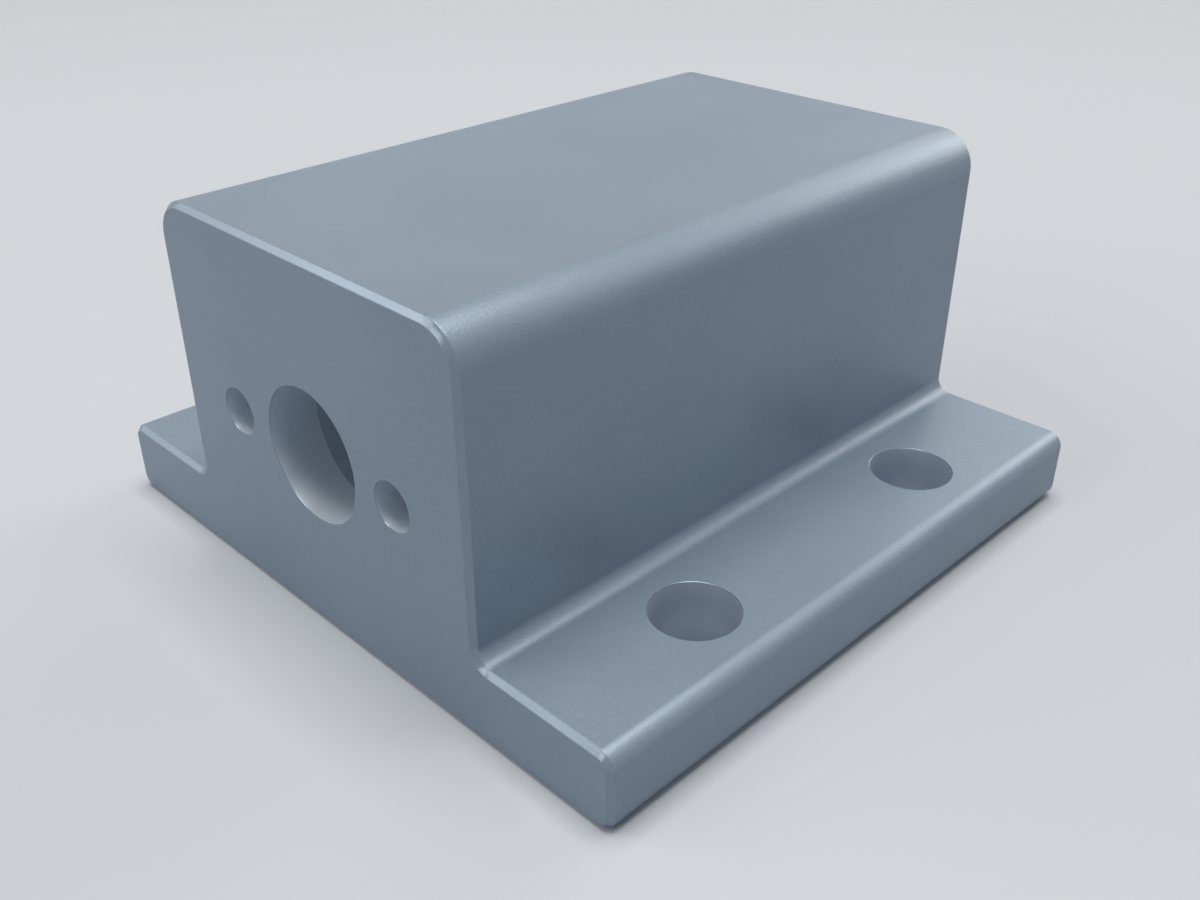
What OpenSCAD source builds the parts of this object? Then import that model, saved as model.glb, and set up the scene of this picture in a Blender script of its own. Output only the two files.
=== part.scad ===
// Motor mount: one solid block with a raised hollow body between two bolting flanges.
// Millimetres. X runs across the flanges, Y from the screw face to the open rear, Z up.
// The origin is the centre of the flat underside.

/* [Body] */
// Length from the screw face to the rear
length = 135; // [115:5:180]
// Width of the raised body
body_w = 82; // [78:1:110]
// Height of the raised body above the underside
body_h = 72; // [68:1:95]
// Wall of the raised body at its sides, top and floor
wall = 10; // [7:0.5:12]
// Wall that carries the motor
front_wall = 10; // [6:0.5:14]

/* [Flanges] */
// Reach of each flange beyond the raised body
flange_w = 30; // [28:1:40]
// Thickness of the flanges
flange_t = 15; // [12:1:20]
// Diameter of the four bolting holes
base_hole_d = 16; // [10:0.5:18]
// Distance from a flange's outer side to its bolting holes
base_hole_edge = 15; // [13:0.5:17]
// Distance between the two bolting holes of one flange
base_hole_pitch = 65; // [45:5:85]

/* [Motor face] */
// Diameter of the bore for the motor's round boss and shaft
bore_d = 25; // [16:1:32]
// Diameter of the two screw holes beside the bore
screw_hole_d = 9; // [6:0.5:10]
// Distance between the two screw holes
screw_pitch = 45; // [43:0.5:49]

/* [Edges] */
// Radius of the raised body's two long top edges
top_r = 7.5; // [4:0.5:10]
// Radius of the flanges' long outer edges, upper and lower
flange_r = 3; // [2:0.5:5]
// Radius of the inside corner between body and flange
root_r = 3; // [2:0.5:5]
// Radius of the four long corners inside the motor pocket
pocket_r = 2.5; // [1:0.5:5]
// Chamfer round the outline of both ends
chamfer = 1; // [0.5:0.25:1.5]

/* [Hidden] */
base_w = body_w + 2 * flange_w;
front_y = -length / 2;
rear_y = length / 2;
pocket_w = body_w - 2 * wall;
pocket_h = body_h - 2 * wall;
pocket_front_y = front_y + front_wall;
pocket_depth = length - front_wall;
axis_z = wall + pocket_h / 2;
base_hole_x = base_w / 2 - base_hole_edge;
overrun = 1;
metal = [0.47, 0.53, 0.58];
$fn = 96;

// Prism of the given width and height, with the end chamfer on all four sides of both ends.
module chamfered_prism(width, height) {
  intersection() {
    linear_extrude(height)
      polygon([
        [-width / 2 + chamfer, front_y],
        [width / 2 - chamfer, front_y],
        [width / 2, front_y + chamfer],
        [width / 2, rear_y - chamfer],
        [width / 2 - chamfer, rear_y],
        [-width / 2 + chamfer, rear_y],
        [-width / 2, rear_y - chamfer],
        [-width / 2, front_y + chamfer]
      ]);
    translate([-width / 2, 0, 0])
      rotate([90, 0, 90])
        linear_extrude(width)
          polygon([
            [front_y, chamfer],
            [front_y + chamfer, 0],
            [rear_y - chamfer, 0],
            [rear_y, chamfer],
            [rear_y, height - chamfer],
            [rear_y - chamfer, height],
            [front_y + chamfer, height],
            [front_y, height - chamfer]
          ]);
  }
}

// Round bar along Y whose radius changes by end_step over the chamfer at each end.
module round_bar(radius, end_step) {
  rotate([-90, 0, 0])
    rotate_extrude()
      polygon([
        [0, front_y],
        [radius + end_step, front_y],
        [radius, front_y + chamfer],
        [radius, rear_y - chamfer],
        [radius + end_step, rear_y],
        [0, rear_y]
      ]);
}

// Waste outside a rounded long edge. The corner lies at x, z and side_x, side_z point outwards.
module edge_waste(x, z, radius, side_x, side_z) {
  translate([x - side_x * radius, 0, z - side_z * radius])
    difference() {
      translate([side_x * (radius + overrun) / 2, 0, side_z * (radius + overrun) / 2])
        cube([radius + overrun, length + 2 * overrun, radius + overrun], center = true);
      round_bar(radius, -chamfer);
    }
}

// Fillet in the inside corner between the body's side and the flange's top, on the right.
module root_fillet() {
  reach = root_r + chamfer;
  difference() {
    translate([body_w / 2 - chamfer, front_y, flange_t - chamfer])
      cube([reach, length, reach]);
    translate([body_w / 2 + root_r, 0, flange_t + root_r])
      round_bar(root_r, chamfer);
  }
}

module raised_body() {
  difference() {
    chamfered_prism(body_w, body_h);
    for (side = [-1, 1])
      edge_waste(side * body_w / 2, body_h, top_r, side, 1);
  }
}

module flange_plate() {
  difference() {
    chamfered_prism(base_w, flange_t);
    for (side = [-1, 1]) {
      edge_waste(side * base_w / 2, flange_t, flange_r, side, 1);
      edge_waste(side * base_w / 2, 0, flange_r, side, -1);
    }
  }
}

// Outline of the motor pocket in X and Y, before it is stood up: a rectangle with round corners.
module pocket_outline() {
  corner_x = pocket_w / 2 - pocket_r;
  corner_y = pocket_h / 2 - pocket_r;
  union() {
    square([pocket_w, pocket_h - 2 * pocket_r], center = true);
    square([pocket_w - 2 * pocket_r, pocket_h], center = true);
    for (x = [-corner_x, corner_x], y = [-corner_y, corner_y])
      translate([x, y])
        circle(pocket_r);
  }
}

// Space for the motor, open at the rear.
module motor_pocket() {
  translate([0, rear_y + overrun, axis_z])
    rotate([90, 0, 0])
      linear_extrude(pocket_depth + overrun)
        pocket_outline();
}

// Round hole through the front wall.
module face_hole(x, diameter) {
  translate([x, pocket_front_y + overrun, axis_z])
    rotate([90, 0, 0])
      cylinder(h = front_wall + 2 * overrun, d = diameter);
}

// Round hole down through a flange.
module base_hole(x, y) {
  translate([x, y, -overrun])
    cylinder(h = flange_t + 2 * overrun, d = base_hole_d);
}

module mount_block() {
  color(metal)
    difference() {
      union() {
        raised_body();
        flange_plate();
        root_fillet();
        mirror([1, 0, 0])
          root_fillet();
      }
      motor_pocket();
      face_hole(0, bore_d);
      for (side = [-1, 1])
        face_hole(side * screw_pitch / 2, screw_hole_d);
      for (side = [-1, 1], end = [-1, 1])
        base_hole(side * base_hole_x, end * base_hole_pitch / 2);
    }
}

mount_block();
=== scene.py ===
"""Motor mount: a blasted metal block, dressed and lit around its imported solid.

The block is one piece. Its outline is drawn once across the front, filleted, drawn out along Y,
chamfered at both ends and then bored and milled out. Everything is in metres: X runs across the
two flanges, Y from the face with the bore to the open rear, and Z up from the underside.
"""

import logging
import math
from dataclasses import dataclass, field
from enum import Enum, IntEnum
from typing import Any, Callable, Iterable, Sequence, Union

import bmesh
import bpy
from mathutils import Matrix, Vector


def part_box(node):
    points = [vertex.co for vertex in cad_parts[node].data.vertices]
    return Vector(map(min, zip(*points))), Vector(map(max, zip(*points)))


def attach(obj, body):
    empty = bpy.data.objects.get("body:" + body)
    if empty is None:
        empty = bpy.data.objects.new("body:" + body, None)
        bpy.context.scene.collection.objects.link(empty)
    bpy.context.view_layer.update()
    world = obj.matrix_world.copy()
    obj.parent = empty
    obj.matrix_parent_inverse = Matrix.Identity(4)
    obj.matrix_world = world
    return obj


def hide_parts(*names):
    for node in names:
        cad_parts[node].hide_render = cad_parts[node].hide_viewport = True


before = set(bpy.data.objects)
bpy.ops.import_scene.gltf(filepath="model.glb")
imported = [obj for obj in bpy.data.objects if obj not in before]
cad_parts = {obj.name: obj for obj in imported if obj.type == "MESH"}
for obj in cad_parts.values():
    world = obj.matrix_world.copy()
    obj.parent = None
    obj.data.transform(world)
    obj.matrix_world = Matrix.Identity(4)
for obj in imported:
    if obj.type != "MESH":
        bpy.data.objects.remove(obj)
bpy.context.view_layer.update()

LOG = logging.getLogger("motor_mount")
MM = 0.001
NODE = "mount_block"
PIECE = "motor_mount_body"
BODY = "root"

ACROSS = Vector((1.0, 0.0, 0.0))
ALONG = Vector((0.0, 1.0, 0.0))
UP = Vector((0.0, 0.0, 1.0))

# Two places closer than TOUCH count as one, and points closer than MERGE are joined
TOUCH = 0.01 * MM
MERGE = 0.0001 * MM

# The value that every noise swings round
MIDDLE = 0.5

Number = Union[int, float]
Colour = tuple[float, float, float]
Point = tuple[float, float, float]
Ring = list[bmesh.types.BMEdge]


class Surface(IntEnum):
    """How a stretch of the block was finished, which is also its material's place on the mesh."""

    BLASTED = 0
    BORED = 1
    DRILLED = 2
    MILLED = 3
    EDGE = 4


class HoleAxis(Enum):
    """Which way a round hole runs, as the unit vector from its first face to its second."""

    THROUGH_FRONT = (0.0, 1.0, 0.0)
    THROUGH_FLANGE = (0.0, 0.0, 1.0)


# Shader building


class Signal:
    """One output socket of a material's nodes, with arithmetic on it.

    An expression on two signals, or on a signal and a number, adds the Math node that works it out.
    """

    def __init__(self, shader: "Shader", socket: bpy.types.NodeSocket) -> None:
        """Wraps a socket.

        Args:
            shader: the material's node builder.
            socket: the output that carries the value.
        """
        self.shader = shader
        self.socket = socket

    def _math(self, operation: str, *values: Union["Signal", Number]) -> "Signal":
        """Adds one Math node.

        Args:
            operation: the Math node's operation.
            values: its inputs, in order.

        Returns:
            The node's result.
        """
        return self.shader.node("ShaderNodeMath", {"operation": operation}, dict(enumerate(values)))

    def __add__(self, other: Union["Signal", Number]) -> "Signal":
        """Adds a value."""
        return self._math("ADD", self, other)

    def __radd__(self, other: Number) -> "Signal":
        """Adds this to a number."""
        return self._math("ADD", other, self)

    def __sub__(self, other: Union["Signal", Number]) -> "Signal":
        """Takes a value away."""
        return self._math("SUBTRACT", self, other)

    def __rsub__(self, other: Number) -> "Signal":
        """Takes this away from a number."""
        return self._math("SUBTRACT", other, self)

    def __mul__(self, other: Union["Signal", Number]) -> "Signal":
        """Multiplies by a value."""
        return self._math("MULTIPLY", self, other)

    def __rmul__(self, other: Number) -> "Signal":
        """Multiplies a number by this."""
        return self._math("MULTIPLY", other, self)

    def __truediv__(self, other: Union["Signal", Number]) -> "Signal":
        """Divides by a value."""
        return self._math("DIVIDE", self, other)

    def __rtruediv__(self, other: Number) -> "Signal":
        """Divides a number by this."""
        return self._math("DIVIDE", other, self)

    def wave(self) -> "Signal":
        """Turns an angle into a wave between 0 and 1."""
        return self._math("SINE", self) * 0.5 + 0.5

    def clamped(self) -> "Signal":
        """Holds the value between 0 and 1."""
        return self._math("MINIMUM", self._math("MAXIMUM", self, 0.0), 1.0)

    def remap(self, low: float, high: float) -> "Signal":
        """Maps a range smoothly onto 0 to 1.

        Args:
            low: the value that becomes 0.
            high: the value that becomes 1.

        Returns:
            The mapped value, which stays between 0 and 1.
        """
        values = {"Value": self, "From Min": low, "From Max": high}
        settings = {"interpolation_type": "SMOOTHSTEP"}
        return self.shader.node("ShaderNodeMapRange", settings, values, "Result")

    def spread(self, reach: float) -> "Signal":
        """Stretches a noise that swings this far round its middle over the whole of 0 to 1."""
        return self.remap(MIDDLE - reach, MIDDLE + reach)


@dataclass(frozen=True)
class Grain:
    """One soft noise: its grains in a metre, its finer layers and their strength, and its swing."""

    scale: float
    detail: float = 2.0
    rough: float = 0.5
    reach: float = 0.2


class Shader:
    """The node tree of one new material or of the world."""

    def __init__(self, owner: Union[bpy.types.Material, bpy.types.World]) -> None:
        """Empties the node tree of a material or world.

        Args:
            owner: the new material or world.
        """
        self.owner = owner
        self.owner.use_nodes = True
        self.tree = self.owner.node_tree
        self.tree.nodes.clear()

    @classmethod
    def material(cls, name: str) -> "Shader":
        """Starts a new material."""
        return cls(bpy.data.materials.new(name))

    def node(
        self,
        kind: str,
        settings: dict[str, Any],
        values: dict[Union[str, int], Any],
        output: Union[str, int] = 0,
    ) -> Signal:
        """Adds any node.

        Args:
            kind: the node's type.
            settings: its properties, set before its sockets.
            values: values or signals for its sockets, by name or place.
            output: the wanted output socket.

        Returns:
            The wanted output.
        """
        made = self.tree.nodes.new(kind)
        for key, value in settings.items():
            setattr(made, key, value)
        for key, value in values.items():
            if isinstance(value, Signal):
                self.tree.links.new(value.socket, made.inputs[key])
            else:
                made.inputs[key].default_value = value
        return Signal(self, made.outputs[output])

    def place(self) -> Signal:
        """Gives the Object coordinates, in metres."""
        return self.node("ShaderNodeTexCoord", {}, {}, "Object")

    def noise(self, place: Signal, grain: Grain) -> Signal:
        """Adds soft noise.

        Args:
            place: where the noise is read.
            grain: how fine and how layered it is.

        Returns:
            A value around the middle of 0 to 1.
        """
        values = {
            "Vector": place,
            "Scale": grain.scale,
            "Detail": grain.detail,
            "Roughness": grain.rough,
        }
        return self.node("ShaderNodeTexNoise", {"noise_dimensions": "3D"}, values, "Fac")

    def blend(self, amount: Signal, low: Union[Signal, Colour], high: Union[Signal, Colour]) -> Signal:
        """Mixes two colours.

        Args:
            amount: 0 for the first and 1 for the second.
            low: the first colour.
            high: the second colour.

        Returns:
            The mixed colour.
        """
        first, second = (end if isinstance(end, Signal) else (*end, 1.0) for end in (low, high))
        settings = {"data_type": "RGBA", "blend_type": "MIX"}
        return self.node("ShaderNodeMix", settings, {0: amount, 6: first, 7: second}, 2)

    def relief(self, height: Signal, strength: float, depth: float) -> Signal:
        """Turns a height into a bumped normal.

        Args:
            height: the relief, from 0 to 1.
            strength: how much of it shows.
            depth: its real depth in metres.

        Returns:
            The normal.
        """
        values = {"Strength": strength, "Distance": depth, "Height": height}
        return self.node("ShaderNodeBump", {}, values, "Normal")

    def looks(self) -> Signal:
        """Gives 1 where the camera, a reflection or a see-through body looks, and 0 for soft light."""
        rays = ("Is Camera Ray", "Is Glossy Ray", "Is Transmission Ray")
        return sum(self.node("ShaderNodeLightPath", {}, {}, ray) for ray in rays).clamped()

    def close(self, surface: Signal, output: str) -> None:
        """Links a surface or a background to the tree's output.

        Args:
            surface: the shader to show.
            output: the type of the output node.
        """
        self.tree.links.new(surface.socket, self.tree.nodes.new(output).inputs["Surface"])

    def finish(self, values: dict[Union[str, int], Any]) -> bpy.types.Material:
        """Closes a material with its surface shader.

        Args:
            values: the surface's constants and signals.

        Returns:
            The finished material.
        """
        self.close(self.node("ShaderNodeBsdfPrincipled", {}, values, "BSDF"), "ShaderNodeOutputMaterial")
        return self.owner


# Finishes


@dataclass(frozen=True)
class BlastedFinish:
    """Fine bead-blasted metal with a thin blue-grey anodised skin."""

    light: Colour = (0.316, 0.391, 0.473)
    dark: Colour = (0.276, 0.345, 0.420)
    metallic: float = 0.35
    roughness: float = 0.40
    cloud_swing: float = 0.14
    fleck_swing: float = 0.07
    clouds: Grain = Grain(26.0, 4.0, 0.55)
    cloud_share: float = 0.6
    flecks: Grain = Grain(1500.0, 2.0, 0.6, reach=0.25)
    fleck_share: float = 0.4
    blast: Grain = Grain(2000.0, 3.0, 0.65)
    blast_strength: float = 0.55
    blast_depth: float = 0.10 * MM

    def build(self) -> bpy.types.Material:
        """Builds the material.

        Returns:
            The blasted outside of the block.
        """
        shader = Shader.material("blasted_metal")
        place = shader.place()
        clouds, flecks = shader.noise(place, self.clouds), shader.noise(place, self.flecks)
        tone = self.cloud_share * clouds.spread(self.clouds.reach)
        tone += self.fleck_share * flecks.spread(self.flecks.reach)
        swing = (clouds - MIDDLE) * self.cloud_swing + (flecks - MIDDLE) * self.fleck_swing
        blast = shader.noise(place, self.blast)
        values = {
            "Base Color": shader.blend(tone, self.dark, self.light),
            "Metallic": self.metallic,
            "Roughness": swing + self.roughness,
            "Normal": shader.relief(blast, self.blast_strength, self.blast_depth),
        }
        return shader.finish(values)


@dataclass(frozen=True)
class BoredFinish:
    """The turned wall of a bored hole, with faint rings round its axis, lighter than the outside partly
    as bare cut metal and partly as painted light that lifts the shade inside the hole.
    """

    name: str
    axis: HoleAxis
    # Painted light: these tones are lighter than the blasted outside, partly as bare turned metal and
    # partly to make up for the shade deep in the hole.
    light: Colour = (0.700, 0.765, 0.830)
    dark: Colour = (0.635, 0.702, 0.772)
    metallic: float = 0.15
    roughness: float = 0.34
    roughness_swing: float = 0.12
    ring_pitch: float = 0.32 * MM
    ring_depth: float = 0.006 * MM
    ring_strength: float = 0.6
    ring_share: float = 0.45
    wobble: Grain = Grain(420.0)
    wobble_share: float = 0.55
    wobble_turns: float = 0.8

    def build(self) -> bpy.types.Material:
        """Builds the material.

        Returns:
            The wall of the holes on one axis.
        """
        shader = Shader.material(self.name)
        place = shader.place()
        ends = {0: place, 1: self.axis.value}
        along = shader.node("ShaderNodeVectorMath", {"operation": "DOT_PRODUCT"}, ends, "Value")
        wobble = shader.noise(place, self.wobble)
        rings = ((along / self.ring_pitch + wobble * self.wobble_turns) * math.tau).wave()
        tone = self.ring_share * rings + self.wobble_share * wobble
        values = {
            "Base Color": shader.blend(tone, self.dark, self.light),
            "Metallic": self.metallic,
            "Roughness": (wobble - MIDDLE) * self.roughness_swing + self.roughness,
            "Normal": shader.relief(rings, self.ring_strength, self.ring_depth),
        }
        return shader.finish(values)


@dataclass(frozen=True)
class MilledFinish:
    """The milled inside of the motor pocket, with long cutter marks along it, lighter than the outside
    partly as bare milled metal and partly as painted light that lifts the shade inside the pocket.
    """

    # Painted light: these tones are lighter than the blasted outside, partly as bare milled metal and
    # partly to make up for the shade inside the pocket.
    light: Colour = (0.680, 0.750, 0.820)
    dark: Colour = (0.620, 0.690, 0.765)
    metallic: float = 0.15
    roughness: float = 0.40
    roughness_swing: float = 0.14
    streaks: Grain = Grain(900.0, 3.0, 0.6)
    streak_share: float = 0.6
    streak_stretch: float = 0.03
    streak_strength: float = 0.5
    streak_depth: float = 0.01 * MM
    clouds: Grain = Grain(40.0, 3.0)
    cloud_share: float = 0.4

    def build(self) -> bpy.types.Material:
        """Builds the material.

        Returns:
            The inside of the pocket.
        """
        shader = Shader.material("milled_metal_painted_light")
        place = shader.place()
        stretch = {"Vector": place, "Scale": (1.0, self.streak_stretch, 1.0)}
        drawn = shader.node("ShaderNodeMapping", {"vector_type": "POINT"}, stretch, "Vector")
        streaks, clouds = shader.noise(drawn, self.streaks), shader.noise(place, self.clouds)
        tone = self.streak_share * streaks.spread(self.streaks.reach) + self.cloud_share * clouds
        values = {
            "Base Color": shader.blend(tone, self.dark, self.light),
            "Metallic": self.metallic,
            "Roughness": (streaks - MIDDLE) * self.roughness_swing + self.roughness,
            "Normal": shader.relief(streaks, self.streak_strength, self.streak_depth),
        }
        return shader.finish(values)


@dataclass(frozen=True)
class EdgeFinish:
    """The end chamfers and hole edges, cut after the blasting and so smoother than the faces."""

    light: Colour = (0.300, 0.376, 0.458)
    dark: Colour = (0.278, 0.350, 0.429)
    metallic: float = 0.40
    roughness: float = 0.22
    roughness_swing: float = 0.04
    patches: Grain = Grain(90.0, 1.0, reach=0.3)

    def build(self) -> bpy.types.Material:
        """Builds the material.

        Returns:
            The cut metal of the chamfers and of the edges of the holes and the pocket.
        """
        shader = Shader.material("cut_edge")
        patches = shader.noise(shader.place(), self.patches).spread(self.patches.reach)
        values = {
            "Base Color": shader.blend(patches, self.dark, self.light),
            "Metallic": self.metallic,
            "Roughness": (MIDDLE - patches) * self.roughness_swing + self.roughness,
        }
        return shader.finish(values)


@dataclass(frozen=True)
class FloorFinish:
    """The plain pale studio floor, which throws less light back than it shows."""

    pale: Colour = (0.715, 0.740, 0.775)
    shade: Colour = (0.697, 0.721, 0.757)
    bounce: Colour = (0.250, 0.325, 0.425)
    far: Colour = (0.55, 0.56, 0.575)
    fade_start: float = 0.35
    fade_end: float = 1.3
    roughness: float = 0.75
    clouds: Grain = Grain(3.0)

    def build(self) -> bpy.types.Material:
        """Builds the material, which fades into the air's own tone far from the mount.

        Returns:
            The floor's material.
        """
        shader = Shader.material("pale_floor")
        place = shader.place()
        shown = shader.blend(shader.noise(place, self.clouds), self.shade, self.pale)
        near = shader.blend(shader.looks(), self.bounce, shown)
        reach = shader.node("ShaderNodeVectorMath", {"operation": "LENGTH"}, {0: place}, "Value")
        fade = reach.remap(self.fade_start, self.fade_end)
        black = (0.0, 0.0, 0.0)
        values = {
            "Base Color": shader.blend(fade, near, black),
            "Emission Color": shader.blend(shader.looks() * fade, black, self.far),
            "Emission Strength": 1.0,
            "Roughness": self.roughness,
            "Specular IOR Level": 0.0,
        }
        return shader.finish(values)


FINISHES = {
    Surface.BLASTED: BlastedFinish(),
    Surface.BORED: BoredFinish("bored_wall_painted_light", HoleAxis.THROUGH_FRONT),
    Surface.DRILLED: BoredFinish(
        "drilled_wall_painted_light",
        HoleAxis.THROUGH_FLANGE,
        # Painted light: lighter than the blasted outside, partly as bare drilled metal and partly to
        # lift the shade inside the base holes.
        light=(0.560, 0.630, 0.710),
        dark=(0.500, 0.570, 0.655),
        metallic=0.25,
    ),
    Surface.MILLED: MilledFinish(),
    Surface.EDGE: EdgeFinish(),
}


# The mount


@dataclass(frozen=True)
class Corner:
    """One corner of an outline, with its fillet."""

    x: float
    z: float
    radius: float


def is_flat(face: bmesh.types.BMFace) -> bool:
    """Says whether a face belongs to a plane and not to a fillet, a cone or a hole.

    Args:
        face: the face.

    Returns:
        True for a face square to an axis, and for the straight stretches of the end chamfers,
        which lean half way between Y and either X or Z.
    """
    square, lean, skew = 0.9999, 0.001, 0.003
    x, y, z = (abs(part) for part in face.normal)
    return max(x, y, z) > square or (abs(y - math.sqrt(0.5)) < lean and min(x, z) < skew)


def lies_at(edge: bmesh.types.BMEdge, axis: Vector, level: float) -> bool:
    """Says whether both ends of an edge lie at one level along an axis.

    Args:
        edge: the edge.
        axis: the axis, as a unit vector.
        level: the distance from the origin along it.

    Returns:
        True where the edge lies there.
    """
    return all(abs(vert.co.dot(axis) - level) < TOUCH for vert in edge.verts)


@dataclass
class Workpiece:
    """The mesh in the making, with the operations that its shell, pocket and holes share."""

    fillet_segments: int = 32
    break_segments: int = 2
    mesh: bmesh.types.BMesh = field(default_factory=bmesh.new)

    def outline(self, corners: Sequence[Corner], y: float) -> bmesh.types.BMFace:
        """Draws a flat outline across the front and rounds its corners.

        Args:
            corners: the outline's corners in order.
            y: where it stands.

        Returns:
            The outline's face.
        """
        old = set(self.mesh.faces)
        verts = [self.mesh.verts.new((corner.x, y, corner.z)) for corner in corners]
        self.mesh.faces.new(verts)
        for vert, corner in zip(verts, corners):
            bmesh.ops.bevel(
                self.mesh,
                geom=[vert],
                offset=corner.radius,
                offset_type="OFFSET",
                segments=self.fillet_segments,
                profile=0.5,
                affect="VERTICES",
                clamp_overlap=False,
                material=-1,
            )
        return next(face for face in self.mesh.faces if face not in old)

    def draw_out(self, face: bmesh.types.BMFace, length: float) -> bmesh.types.BMFace:
        """Draws a face out along Y.

        Args:
            face: the face to draw out.
            length: how far.

        Returns:
            The face at the far end.
        """
        made = bmesh.ops.extrude_face_region(self.mesh, geom=[face])["geom"]
        verts = [item for item in made if isinstance(item, bmesh.types.BMVert)]
        bmesh.ops.translate(self.mesh, verts=verts, vec=ALONG * length)
        return next(item for item in made if isinstance(item, bmesh.types.BMFace))

    def inset(self, face: bmesh.types.BMFace, width: float, depth: float) -> list[bmesh.types.BMFace]:
        """Draws a face in and moves it, which leaves a sloped band round it.

        Args:
            face: the face.
            width: how far its edges move in.
            depth: how far it moves along its normal.

        Returns:
            The faces of the band.
        """
        made = bmesh.ops.inset_region(
            self.mesh,
            faces=[face],
            thickness=width,
            depth=depth,
            use_even_offset=True,
            use_boundary=True,
        )
        return made["faces"]

    def soften(self, edges: Sequence[bmesh.types.BMEdge], width: float) -> None:
        """Rounds sharp edges slightly and gives the roundings the finish of the outside.

        Args:
            edges: the edges.
            width: the width of the rounding on each side.
        """
        made = bmesh.ops.bevel(
            self.mesh,
            geom=list(edges),
            offset=width,
            offset_type="OFFSET",
            segments=self.break_segments,
            profile=0.5,
            affect="EDGES",
            clamp_overlap=False,
            material=-1,
        )
        for face in made["faces"]:
            face.material_index = Surface.BLASTED
        self.mesh.normal_update()

    def flat_face(self, normal: Vector, level: float, side: float = 0.0) -> bmesh.types.BMFace:
        """Finds the largest flat face on a plane.

        Args:
            normal: the way the face looks.
            level: the plane's distance along the axis of the normal.
            side: the sign of X to look on, or 0 for either.

        Returns:
            The face.
        """
        same_way = 0.999
        axis = max(range(3), key=lambda part: abs(normal[part]))
        found = [
            face
            for face in self.mesh.faces
            if face.normal.dot(normal) > same_way
            and abs(face.calc_center_median()[axis] - level) < TOUCH
            and face.calc_center_median().x * side >= 0
        ]
        return max(found, key=lambda face: face.calc_area())

    def open_face(self, face: bmesh.types.BMFace, rims: Iterable[Ring]) -> None:
        """Replaces a flat face by triangles that leave holes in it.

        Args:
            face: the face without holes.
            rims: the ring of edges of each hole.
        """
        edges = [*face.edges, *(edge for rim in rims for edge in rim)]
        normal, finish = face.normal.copy(), face.material_index
        bmesh.ops.delete(self.mesh, geom=[face], context="FACES_ONLY")
        made = bmesh.ops.triangle_fill(
            self.mesh, use_beauty=True, use_dissolve=False, edges=edges, normal=normal
        )
        for item in made["geom"]:
            if isinstance(item, bmesh.types.BMFace):
                item.material_index = finish

    def settle(self) -> None:
        """Joins the doubled points, turns every face outwards and marks the sharp edges.

        An edge between a plane and a curve is sharp too, so that the plane keeps its even shading.
        """
        bmesh.ops.remove_doubles(self.mesh, verts=self.mesh.verts, dist=MERGE)
        bmesh.ops.recalc_face_normals(self.mesh, faces=self.mesh.faces)
        self.mesh.normal_update()
        crease = math.radians(30.0)
        for face in self.mesh.faces:
            face.smooth = True
        for edge in self.mesh.edges:
            if len(edge.link_faces) == 2:
                same_kind = len({is_flat(face) for face in edge.link_faces}) == 1
                edge.smooth = same_kind and edge.calc_face_angle(0.0) < crease


@dataclass(frozen=True)
class MountShell:
    """The outside of the mount: the raised body on its flanges, chamfered at both ends."""

    low: Vector
    high: Vector
    body_width: float = 82 * MM
    flange_thickness: float = 15 * MM
    top_radius: float = 7.5 * MM
    flange_radius: float = 3 * MM
    root_radius: float = 3 * MM
    chamfer: float = 1 * MM
    edge_break: float = 0.12 * MM

    def corners(self) -> list[Corner]:
        """Works out the outline, from the right foot over the body to the left one.

        Returns:
            The outline's corners.
        """
        half_base, half_body = self.high.x, self.body_width / 2
        step = self.low.z + self.flange_thickness
        right = [
            Corner(half_base, self.low.z, self.flange_radius),
            Corner(half_base, step, self.flange_radius),
            Corner(half_body, step, self.root_radius),
            Corner(half_body, self.high.z, self.top_radius),
        ]
        return right + [Corner(-corner.x, corner.z, corner.radius) for corner in reversed(right)]

    def build(self, work: Workpiece) -> None:
        """Draws the outline out along Y, chamfers both ends and softens the chamfers' fine corners.

        Args:
            work: the mount in the making.
        """
        front, rear = self.low.y + self.chamfer, self.high.y - self.chamfer
        work.draw_out(work.outline(self.corners(), front), rear - front)
        bmesh.ops.recalc_face_normals(work.mesh, faces=work.mesh.faces)
        for outwards, level in ((-ALONG, front), (ALONG, rear)):
            end = work.flat_face(outwards, level)
            for sloped in work.inset(end, self.chamfer, self.chamfer):
                sloped.material_index = Surface.EDGE
        work.mesh.normal_update()
        fine_edges = [
            edge
            for edge in work.mesh.edges
            if any(lies_at(edge, ALONG, level) for level in (self.low.y, front, rear, self.high.y))
        ]
        work.soften(fine_edges, self.edge_break)


@dataclass(frozen=True)
class MotorPocket:
    """The space for the motor, milled from the open rear up to the front wall.

    Its floor and roof are heights, and its seat and mouth are places along Y.
    """

    half_width: float
    floor: float
    roof: float
    seat: float
    mouth: float
    radius: float = 2.5 * MM
    mouth_break: float = 0.3 * MM

    def mill(self, work: Workpiece) -> tuple[Ring, bmesh.types.BMFace]:
        """Makes the pocket's wall, from its mouth at the rear to the seat.

        Args:
            work: the mount in the making.

        Returns:
            The edges of the mouth, and the seat's face.
        """
        grow = self.mouth_break
        half, radius = self.half_width + grow, self.radius + grow
        floor, roof = self.floor - grow, self.roof + grow
        corners = [Corner(-half, floor, radius), Corner(half, floor, radius)]
        corners += [Corner(half, roof, radius), Corner(-half, roof, radius)]
        old = set(work.mesh.faces)
        mouth = work.outline(corners, self.mouth)
        mouth.normal_update()
        rim = work.inset(mouth, grow, math.copysign(grow, -mouth.normal.y))
        seat = work.draw_out(mouth, self.seat - self.mouth + grow)
        bmesh.ops.delete(work.mesh, geom=[mouth], context="FACES_ONLY")
        for face in work.mesh.faces:
            if face not in old:
                face.material_index = Surface.MILLED
        for face in rim:
            face.material_index = Surface.EDGE
        return [edge for face in rim for edge in face.edges if len(edge.link_faces) == 1], seat


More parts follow.
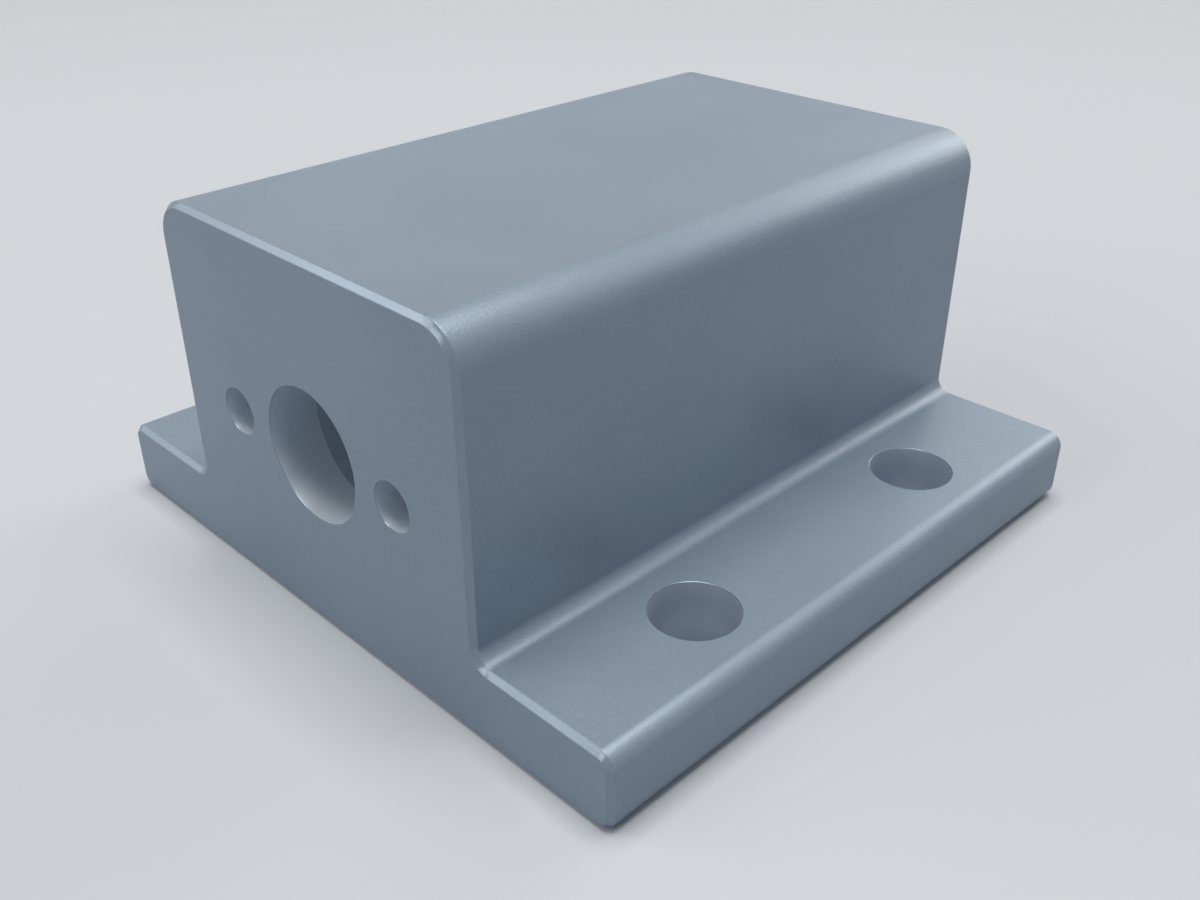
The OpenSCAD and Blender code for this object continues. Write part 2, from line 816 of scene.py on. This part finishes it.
@dataclass(frozen=True)
class RoundHole:
    """A plain round hole between two flat faces, with a fine edge break at both ends."""

    start: Point
    axis: HoleAxis
    radius: float
    depth: float
    facets: int
    edge_break: float = 0.15 * MM

    def profile(self) -> list[tuple[float, float]]:
        """Works out the hole's wall from end to end.

        Returns:
            The points of the wall, as how far each lies outside the radius and along the axis.
        """
        soft = self.edge_break * (1.0 - math.sqrt(0.5))
        mouth = [(self.edge_break, 0.0), (soft, soft), (0.0, self.edge_break)]
        return mouth + [(grow, self.depth - along) for grow, along in reversed(mouth)]

    def spin(self, work: Workpiece, wall: Surface) -> tuple[Ring, Ring]:
        """Spins the hole's wall round its axis.

        Args:
            work: the mount in the making.
            wall: the finish of the wall.

        Returns:
            The rings of edges at the hole's first and second face.
        """
        mesh, start, axis = work.mesh, Vector(self.start), Vector(self.axis.value)
        old_edges, old_faces = set(mesh.edges), set(mesh.faces)
        places = [start + ACROSS * (self.radius + grow) + axis * along for grow, along in self.profile()]
        verts = [mesh.verts.new(place) for place in places]
        edges = [mesh.edges.new(pair) for pair in zip(verts, verts[1:])]
        bmesh.ops.spin(
            mesh,
            geom=verts + edges,
            cent=start,
            axis=axis,
            dvec=(0.0, 0.0, 0.0),
            angle=math.tau,
            space=Matrix.Identity(4),
            steps=self.facets,
            use_merge=True,
            use_normal_flip=False,
            use_duplicate=False,
        )
        shallow = self.edge_break + TOUCH
        for made in (face for face in mesh.faces if face not in old_faces):
            along = (made.calc_center_median() - start).dot(axis)
            made.material_index = wall if shallow < along < self.depth - shallow else Surface.EDGE
        wall_edges = [edge for edge in mesh.edges if edge not in old_edges]
        foot = start.dot(axis)
        first = [edge for edge in wall_edges if lies_at(edge, axis, foot)]
        second = [edge for edge in wall_edges if lies_at(edge, axis, foot + self.depth)]
        return first, second


@dataclass(frozen=True)
class MountBlock:
    """The whole mount: its shell, the motor pocket, the bored front wall and the base holes.

    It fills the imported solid's box, whose lowest and highest corners are low and high.
    """

    low: Vector
    high: Vector
    wall: float = 10 * MM
    front_wall: float = 10 * MM
    bore_radius: float = 12.5 * MM
    bore_facets: int = 128
    screw_radius: float = 4.5 * MM
    screw_facets: int = 72
    screw_pitch: float = 45 * MM
    base_hole_radius: float = 8 * MM
    base_hole_facets: int = 96
    base_hole_inset: float = 15 * MM
    base_hole_pitch: float = 65 * MM

    def build(self) -> bpy.types.Object:
        """Builds and dresses the mount.

        Returns:
            The finished object, at the origin.
        """
        work, shell = Workpiece(), MountShell(self.low, self.high)
        shell.build(work)
        mouth, seat = self.pocket(shell.body_width).mill(work)
        rims = [hole.spin(work, Surface.BORED) for hole in self.front_holes()]
        work.open_face(work.flat_face(-ALONG, self.low.y), [front for front, back in rims])
        work.open_face(seat, [back for front, back in rims])
        work.open_face(work.flat_face(ALONG, self.high.y), [mouth])
        self.drill_flanges(work, shell.flange_thickness)
        work.settle()
        return self.dress(work)

    def pocket(self, body_width: float) -> MotorPocket:
        """Works out the motor pocket from the walls round it.

        Args:
            body_width: the width of the raised body.

        Returns:
            The pocket.
        """
        return MotorPocket(
            half_width=body_width / 2 - self.wall,
            floor=self.low.z + self.wall,
            roof=self.high.z - self.wall,
            seat=self.low.y + self.front_wall,
            mouth=self.high.y,
        )

    def front_holes(self) -> list[RoundHole]:
        """Works out the holes in the front wall.

        Returns:
            The large bore and the two screw holes.
        """
        height, aside = (self.low.z + self.high.z) / 2, self.screw_pitch / 2
        layout = [(0.0, self.bore_radius, self.bore_facets)]
        layout += [(x, self.screw_radius, self.screw_facets) for x in (-aside, aside)]
        return [
            RoundHole((x, self.low.y, height), HoleAxis.THROUGH_FRONT, radius, self.front_wall, facets)
            for x, radius, facets in layout
        ]

    def drill_flanges(self, work: Workpiece, thickness: float) -> None:
        """Drills the four base holes and opens the flanges and the underside for them.

        Args:
            work: the mount in the making.
            thickness: the thickness of the flanges.
        """
        across, along = self.high.x - self.base_hole_inset, self.base_hole_pitch / 2
        under: list[Ring] = []
        for side in (-1.0, 1.0):
            rims = [
                RoundHole(
                    (side * across, end * along, self.low.z),
                    HoleAxis.THROUGH_FLANGE,
                    self.base_hole_radius,
                    thickness,
                    self.base_hole_facets,
                ).spin(work, Surface.DRILLED)
                for end in (-1.0, 1.0)
            ]
            work.open_face(work.flat_face(UP, self.low.z + thickness, side), [top for foot, top in rims])
            under += [foot for foot, top in rims]
        work.open_face(work.flat_face(-UP, self.low.z), under)

    def dress(self, work: Workpiece) -> bpy.types.Object:
        """Makes the object and gives it its finishes.

        Args:
            work: the finished mesh, which is freed.

        Returns:
            The mount.
        """
        open_edges = sum(len(edge.link_faces) != 2 for edge in work.mesh.edges)
        LOG.info("mesh: %d faces, %d open edges", len(work.mesh.faces), open_edges)
        data = bpy.data.meshes.new(PIECE)
        work.mesh.to_mesh(data)
        work.mesh.free()
        for surface in Surface:
            data.materials.append(FINISHES[surface].build())
        piece = bpy.data.objects.new(PIECE, data)
        bpy.context.collection.objects.link(piece)
        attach(piece, BODY)
        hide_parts(NODE)
        return piece


# Studio


@dataclass(frozen=True)
class Station:
    """Where a lamp or the camera stands, in degrees round the mount, and the point it looks at."""

    azimuth: float
    elevation: float
    distance: float
    aim: Point

    def hold(self, name: str, held: bpy.types.ID) -> bpy.types.Object:
        """Puts a lamp or camera in its place.

        Args:
            name: the object's name.
            held: the lamp's or camera's data.

        Returns:
            The object that holds it.
        """
        turn, rise = math.radians(self.azimuth), math.radians(self.elevation)
        level = Vector((math.sin(turn), -math.cos(turn), 0.0))
        back = level * math.cos(rise) + UP * math.sin(rise)
        holder = bpy.data.objects.new(name, held)
        holder.location = Vector(self.aim) + back * self.distance
        holder.rotation_euler = (-back).to_track_quat("-Z", "Y").to_euler()
        bpy.context.collection.objects.link(holder)
        return holder


@dataclass(frozen=True)
class Softbox:
    """One square soft lamp that looks at the middle of the mount."""

    name: str
    azimuth: float
    elevation: float
    size: float
    power: float
    distance: float = 2.5
    aim: Point = (0.0, 0.0, 30 * MM)
    colour: Colour = (1.0, 0.97, 0.93)

    def build(self) -> None:
        """Hangs the lamp."""
        lamp = bpy.data.lights.new(self.name, "AREA")
        lamp.shape, lamp.size = "SQUARE", self.size
        lamp.energy, lamp.color = self.power, self.colour
        Station(self.azimuth, self.elevation, self.distance, self.aim).hold(self.name, lamp)


@dataclass(frozen=True)
class Viewpoint:
    """The camera: the place and the lens that the photograph's edges give."""

    station: Station = Station(45.0, 30.0, 262.5 * MM, (0.6 * MM, 0.7 * MM, 9.6 * MM))
    frame_height_angle: float = 40.0
    frame_pixels: tuple[int, int] = (1200, 900)
    sensor_mm: float = 36.0
    nearest: float = 10 * MM
    farthest: float = 100.0

    def build(self) -> None:
        """Sets up the scene's camera."""
        lens = bpy.data.cameras.new("viewpoint")
        wide, high = self.frame_pixels
        focal_pixels = high / 2 / math.tan(math.radians(self.frame_height_angle / 2))
        lens.sensor_width = self.sensor_mm
        lens.lens = focal_pixels * self.sensor_mm / wide
        lens.clip_start, lens.clip_end = self.nearest, self.farthest
        bpy.context.scene.camera = self.station.hold("viewpoint", lens)


@dataclass(frozen=True)
class Studio:
    """The pale floor, the soft lamps, the air and the camera."""

    floor_half: float = 4.0
    floor_gap: float = 0.05 * MM
    floor: FloorFinish = FloorFinish()
    air_light: Colour = (0.075, 0.095, 0.120)
    lamps: tuple[Softbox, ...] = (
        Softbox("overhead", 0.0, 90.0, 1.4, 40.5),
        Softbox("back", 190.0, 27.0, 1.3, 5.5),
        Softbox("low_back", 176.0, 18.0, 1.0, 8.2),
        Softbox("back_right", 148.0, 42.0, 1.6, 4.6),
        Softbox("front_left", 311.0, 38.0, 1.3, 7.0),
        Softbox("low_left", 300.0, 21.0, 1.3, 3.6),
        Softbox("front", 350.0, 32.0, 1.2, 7.6),
        Softbox("low_right", 62.0, 14.0, 1.0, 1.3),
    )

    def build(self) -> None:
        """Builds the studio round the mount."""
        self.lay_floor()
        self.light_air()
        for lamp in self.lamps:
            lamp.build()
        Viewpoint().build()
        bpy.context.scene.view_settings.view_transform = "Standard"

    def lay_floor(self) -> None:
        """Lays the floor just under the mount."""
        mesh = bmesh.new()
        bmesh.ops.create_grid(mesh, x_segments=1, y_segments=1, size=self.floor_half)
        bmesh.ops.translate(mesh, verts=mesh.verts, vec=UP * -self.floor_gap)
        data = bpy.data.meshes.new("floor")
        mesh.to_mesh(data)
        mesh.free()
        data.materials.append(self.floor.build())
        floor = bpy.data.objects.new("floor", data)
        bpy.context.collection.objects.link(floor)

    def light_air(self) -> None:
        """Sets the even light from all round, which the camera sees as the far floor's own tone."""
        world = bpy.data.worlds.new("studio_air")
        shader = Shader(world)
        colour = shader.blend(shader.looks(), self.air_light, self.floor.far)
        values = {"Color": colour, "Strength": 1.0}
        shader.close(shader.node("ShaderNodeBackground", {}, values), "ShaderNodeOutputWorld")
        bpy.context.scene.world = world


def report(name: str, build: Callable[[], Any]) -> None:
    """Builds one sub-assembly and logs it.

    Args:
        name: what to call it in the log.
        build: the method that builds it.
    """
    build()
    LOG.info("built %s", name)


def main() -> None:
    """Builds the mount and its studio."""
    logging.basicConfig(level=logging.INFO, format="%(name)s: %(message)s")
    low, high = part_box(NODE)
    report("the mount", MountBlock(low, high).build)
    report("the studio", Studio().build)


if __name__ == "__main__":
    main()
